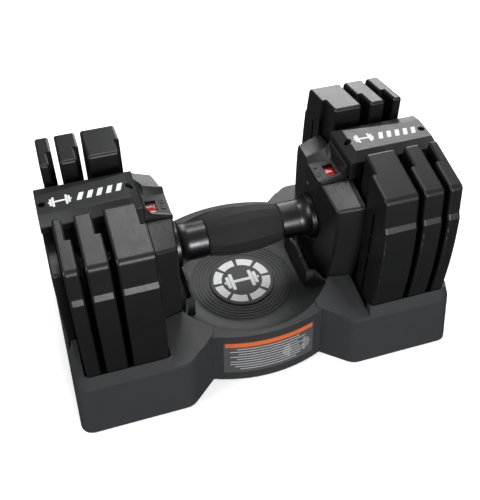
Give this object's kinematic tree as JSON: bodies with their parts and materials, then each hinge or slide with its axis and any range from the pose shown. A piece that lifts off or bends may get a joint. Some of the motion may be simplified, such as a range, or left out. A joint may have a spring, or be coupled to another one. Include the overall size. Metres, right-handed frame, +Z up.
{
  "type": "adjustable dumbbell with tray",
  "caption": "Adjustable dumbbell docked in a moulded tray: a turning grip with selector discs, slotted weight plates each side, dial windows and sprung locks.",
  "frame": {"origin": "middle of the tray's footprint, on the floor", "axes": "+X along the handle, +Y to the back of the tray (the label is at the front), +Z up"},
  "size_m": [0.326, 0.1868, 0.1789],
  "materials": {
    "tray_plastic": "satin moulded, fine grain",
    "foot_rubber": "matte",
    "badge_plastic": "satin black with a pale printed mark",
    "label_film": "printed film, grey with an orange band",
    "grip_rubber": "matte, slightly textured",
    "bare_steel": "turned",
    "black_screw": "black oxide",
    "head_plastic": "satin moulded",
    "cover_plastic": "satin moulded with a pale printed mark",
    "bushing_plastic": "natural nylon",
    "spring_steel": "bright",
    "collar_metal": "gunmetal, brushed round",
    "dial_plastic": "red with white numbers",
    "lock_plastic": "glass-filled nylon",
    "selector_plastic": "glass-filled nylon",
    "plate_plastic": "satin moulded, fine grain",
    "core_steel": "as cut"
  },
  "bodies": {
    "tray": {"tray_shell": "tray_plastic", "tray_feet": "foot_rubber", "center_badge": "badge_plastic", "front_label": "label_film"},
    "dumbbell_frame": {"housing_inner_left": "head_plastic", "housing_outer_left": "head_plastic", "window_bezel_left": "head_plastic", "bridge_beam_left": "head_plastic", "top_cover_left": "cover_plastic", "end_cap_left": "head_plastic", "bushing_inner_left": "bushing_plastic", "bushing_outer_left": "bushing_plastic", "lock_spring_left": "spring_steel", "housing_inner_right": "head_plastic", "housing_outer_right": "head_plastic", "window_bezel_right": "head_plastic", "bridge_beam_right": "head_plastic", "top_cover_right": "cover_plastic", "end_cap_right": "head_plastic", "bushing_inner_right": "bushing_plastic", "bushing_outer_right": "bushing_plastic", "lock_spring_right": "spring_steel", "cover_screws": "black_screw", "housing_screws": "black_screw", "end_cap_screws": "black_screw"},
    "handle": {"grip_sleeve": "grip_rubber", "handle_tube": "bare_steel", "selector_shaft": "bare_steel", "collar_left": "collar_metal", "dial_ring_left": "dial_plastic", "lock_wheel_left": "lock_plastic", "selector_thick_left": "selector_plastic", "selector_medium_left": "selector_plastic", "selector_thin_left": "selector_plastic", "shaft_retainer_left": "spring_steel", "collar_right": "collar_metal", "dial_ring_right": "dial_plastic", "lock_wheel_right": "lock_plastic", "selector_thick_right": "selector_plastic", "selector_medium_right": "selector_plastic", "selector_thin_right": "selector_plastic", "shaft_retainer_right": "spring_steel"},
    "lock_slider_left": {"lock_slider_left": "lock_plastic"},
    "lock_slider_right": {"lock_slider_right": "lock_plastic"},
    "plate_thick_left": {"plate_thick_left": "plate_plastic", "weight_core_thick_left": "core_steel"},
    "plate_thick_right": {"plate_thick_right": "plate_plastic", "weight_core_thick_right": "core_steel"},
    "plate_medium_left": {"plate_medium_left": "plate_plastic", "weight_core_medium_left": "core_steel"},
    "plate_medium_right": {"plate_medium_right": "plate_plastic", "weight_core_medium_right": "core_steel"},
    "plate_thin_left": {"plate_thin_left": "plate_plastic", "weight_core_thin_left": "core_steel"},
    "plate_thin_right": {"plate_thin_right": "plate_plastic", "weight_core_thin_right": "core_steel"}
  },
  "joints": [
    {"name": "dumbbell_lift", "type": "slide", "parent": "tray", "child": "dumbbell_frame", "axis": [0, 0, 1], "range_m": [0, 0.2]},
    {"name": "handle_twist", "type": "hinge", "parent": "dumbbell_frame", "child": "handle", "pos_m": [0, 0, 0.0975], "axis": [1, 0, 0], "range_deg": [0, 180]},
    {"name": "lock_drop_left", "type": "slide", "parent": "dumbbell_frame", "child": "lock_slider_left", "axis": [0, 0, -1], "range_m": [0, 0.0055], "deforming": ["lock_spring_left"]},
    {"name": "lock_drop_right", "type": "slide", "parent": "dumbbell_frame", "child": "lock_slider_right", "axis": [0, 0, -1], "range_m": [0, 0.0055], "deforming": ["lock_spring_right"]},
    {"name": "plate_thick_left_lift", "type": "slide", "parent": "tray", "child": "plate_thick_left", "axis": [0, 0, 1], "range_m": [0, 0.005]},
    {"name": "plate_thick_right_lift", "type": "slide", "parent": "tray", "child": "plate_thick_right", "axis": [0, 0, 1], "range_m": [0, 0.005]},
    {"name": "plate_medium_left_lift", "type": "slide", "parent": "tray", "child": "plate_medium_left", "axis": [0, 0, 1], "range_m": [0, 0.005]},
    {"name": "plate_medium_right_lift", "type": "slide", "parent": "tray", "child": "plate_medium_right", "axis": [0, 0, 1], "range_m": [0, 0.005]},
    {"name": "plate_thin_left_lift", "type": "slide", "parent": "tray", "child": "plate_thin_left", "axis": [0, 0, 1], "range_m": [0, 0.005]},
    {"name": "plate_thin_right_lift", "type": "slide", "parent": "tray", "child": "plate_thin_right", "axis": [0, 0, 1], "range_m": [0, 0.005]}
  ],
  "couplings": [
    {"joint": "lock_drop_left", "follows": "dumbbell_lift", "ratio": 0.0275},
    {"joint": "lock_drop_right", "follows": "dumbbell_lift", "ratio": 0.0275}
  ]
}
